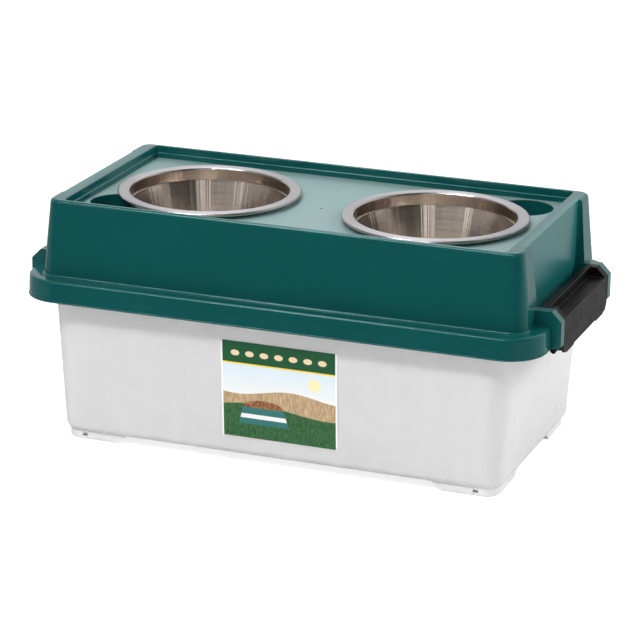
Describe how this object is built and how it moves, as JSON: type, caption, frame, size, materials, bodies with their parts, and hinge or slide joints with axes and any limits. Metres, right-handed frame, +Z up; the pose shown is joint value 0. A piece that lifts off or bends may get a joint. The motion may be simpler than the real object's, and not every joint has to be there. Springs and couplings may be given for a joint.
{
  "type": "elevated pet feeder with storage",
  "caption": "Raised pet feeder: steel bowls sit in a green lid with finger scoops, which latches at both ends onto a frosted food storage bin.",
  "frame": {"origin": "centre of the foot rectangle on the ground, under the middle of the bin", "axes": "+Z up, X along the long side with the latches at both ends, -Y to the front with the label"},
  "size_m": [0.518, 0.271, 0.2309],
  "materials": {
    "frosted_plastic": "frosted translucent",
    "green_plastic": "fine satin moulded",
    "seal_rubber": "soft",
    "black_plastic": "satin moulded",
    "bowl_steel": "polished, turned",
    "label_print": "printed film"
  },
  "bodies": {
    "bin": {"storage_bin": "frosted_plastic", "front_label": "label_print"},
    "lid": {"feeder_lid": "green_plastic", "lid_gasket": "seal_rubber"},
    "latch_left": {"latch_left": "black_plastic"},
    "latch_right": {"latch_right": "black_plastic"},
    "bowl_left": {"bowl_left": "bowl_steel"},
    "bowl_right": {"bowl_right": "bowl_steel"}
  },
  "joints": [
    {"name": "lid_lift", "type": "slide", "parent": "bin", "child": "lid", "axis": [0, 0, 1], "range_m": [0, 0.12]},
    {"name": "bowl_left_lift", "type": "slide", "parent": "lid", "child": "bowl_left", "axis": [0, 0, 1], "range_m": [0, 0.1]},
    {"name": "bowl_right_lift", "type": "slide", "parent": "lid", "child": "bowl_right", "axis": [0, 0, 1], "range_m": [0, 0.1]},
    {"name": "latch_left_swing", "type": "hinge", "parent": "lid", "child": "latch_left", "pos_m": [-0.246, 0, 0.1675], "axis": [0, 1, 0], "range_deg": [0, 70]},
    {"name": "latch_right_swing", "type": "hinge", "parent": "lid", "child": "latch_right", "pos_m": [0.246, 0, 0.1675], "axis": [0, -1, 0], "range_deg": [0, 70]}
  ]
}
